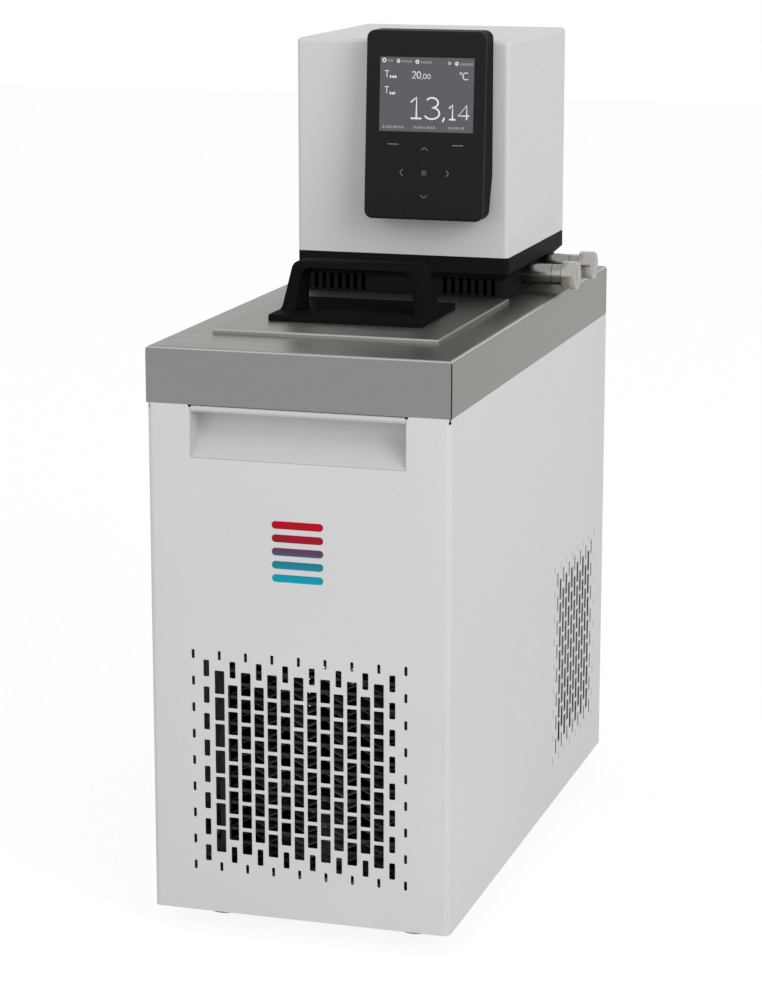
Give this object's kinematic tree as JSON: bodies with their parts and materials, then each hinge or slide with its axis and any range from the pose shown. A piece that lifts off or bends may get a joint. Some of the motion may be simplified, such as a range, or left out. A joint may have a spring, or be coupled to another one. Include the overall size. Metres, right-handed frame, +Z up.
{
  "type": "refrigerated bath circulator",
  "caption": "Benchtop refrigerated bath circulator: slotted white sheet housing, steel bath deck with handled lid, and a control head with tilted display panel and capped side outlets.",
  "frame": {"origin": "Centre of the whole footprint on the floor, counting the outlet caps at the right and the drain cap at the back.", "axes": "+X to the right seen from the front, +Y to the back, +Z up."},
  "size_m": [0.2101, 0.4462, 0.5701],
  "materials": {
    "white_paint": "fine matte white powder coat",
    "steel": "brushed stainless steel",
    "zinc": "zinc plated",
    "galvanised": "galvanised sheet",
    "black_plastic": "fine grained black moulding",
    "panel_film": "satin black key film",
    "display_glass": "clear window over a dark grey display",
    "circuit_board": "green board",
    "motor_metal": "cast motor can",
    "fin_metal": "mill finish tubes and fins",
    "black_paint": "black enamel",
    "copper": "plain copper tube",
    "rubber": "black rubber",
    "foam": "rigid insulating foam"
  },
  "bodies": {
    "circulator": {"feet": "rubber", "foot_screws": "zinc", "base_pan": "galvanised", "housing_cover": "white_paint", "grip_pocket": "white_paint", "rear_panel": "white_paint", "panel_screws": "zinc", "deck": "steel", "bath_vessel": "steel", "bath_insulation": "foam", "evaporator_coil": "steel", "lid": "steel", "lid_handle": "black_plastic", "handle_screws": "zinc", "head_base": "black_plastic", "head_screws": "zinc", "head_cover": "white_paint", "panel_front": "panel_film", "display_window": "display_glass", "display_module": "black_plastic", "panel_board": "circuit_board", "panel_housing": "black_plastic", "control_board": "circuit_board", "pump_motor": "motor_metal", "pump_housing": "black_plastic", "pump_cover": "black_plastic", "support_rods": "steel", "outlet_pipe": "steel", "return_pipe": "steel", "outlet_nozzle_front": "steel", "outlet_nozzle_rear": "steel", "heater": "steel", "temperature_probe": "steel", "float_rod": "steel", "condenser": "fin_metal", "condenser_fins": "fin_metal", "fan_shroud": "galvanised", "fan_motor": "motor_metal", "fan_bracket": "galvanised", "compressor": "black_paint", "compressor_grommets": "rubber", "discharge_pipe": "copper", "suction_pipe": "copper", "liquid_pipe": "copper", "filter_drier": "copper", "capillary_tube": "copper", "drain_nozzle": "steel", "mains_inlet": "black_plastic", "switch_frame": "black_plastic"},
    "fan": {"fan_blades": "black_plastic", "fan_shaft": "steel"},
    "pump_rotor": {"pump_shaft": "steel", "impeller": "black_plastic"},
    "switch": {"switch_rocker": "black_plastic"},
    "front_cap": {"outlet_cap_front": "steel"},
    "rear_cap": {"outlet_cap_rear": "steel"},
    "drain_closure": {"drain_cap": "black_plastic"},
    "float": {"level_float": "steel"}
  },
  "joints": [
    {"name": "fan_spin", "type": "hinge", "parent": "circulator", "child": "fan", "pos_m": [0.002, -0.19015, 0.11584], "axis": [0, 1, 0], "continuous": true},
    {"name": "pump_spin", "type": "hinge", "parent": "circulator", "child": "pump_rotor", "pos_m": [-0.02, 0.08185, 0.388], "axis": [0, 0, 1], "continuous": true},
    {"name": "switch_rock", "type": "hinge", "parent": "circulator", "child": "switch", "pos_m": [-0.017, 0.20485, 0.296], "axis": [1, 0, 0], "range_deg": [0, 20]},
    {"name": "front_cap_turn", "type": "hinge", "parent": "circulator", "child": "front_cap", "pos_m": [0.0868, 0.06985, 0.3972], "axis": [1, 0, 0], "range_deg": [0, 1080]},
    {"name": "rear_cap_turn", "type": "hinge", "parent": "circulator", "child": "rear_cap", "pos_m": [0.0868, 0.12285, 0.3972], "axis": [1, 0, 0], "range_deg": [0, 1080]},
    {"name": "drain_cap_turn", "type": "hinge", "parent": "circulator", "child": "drain_closure", "pos_m": [-0.005, 0.22315, 0.236], "axis": [0, 1, 0], "range_deg": [0, 1080]},
    {"name": "float_rise", "type": "slide", "parent": "circulator", "child": "float", "axis": [0, 0, 1], "range_m": [0, 0.0217]}
  ]
}
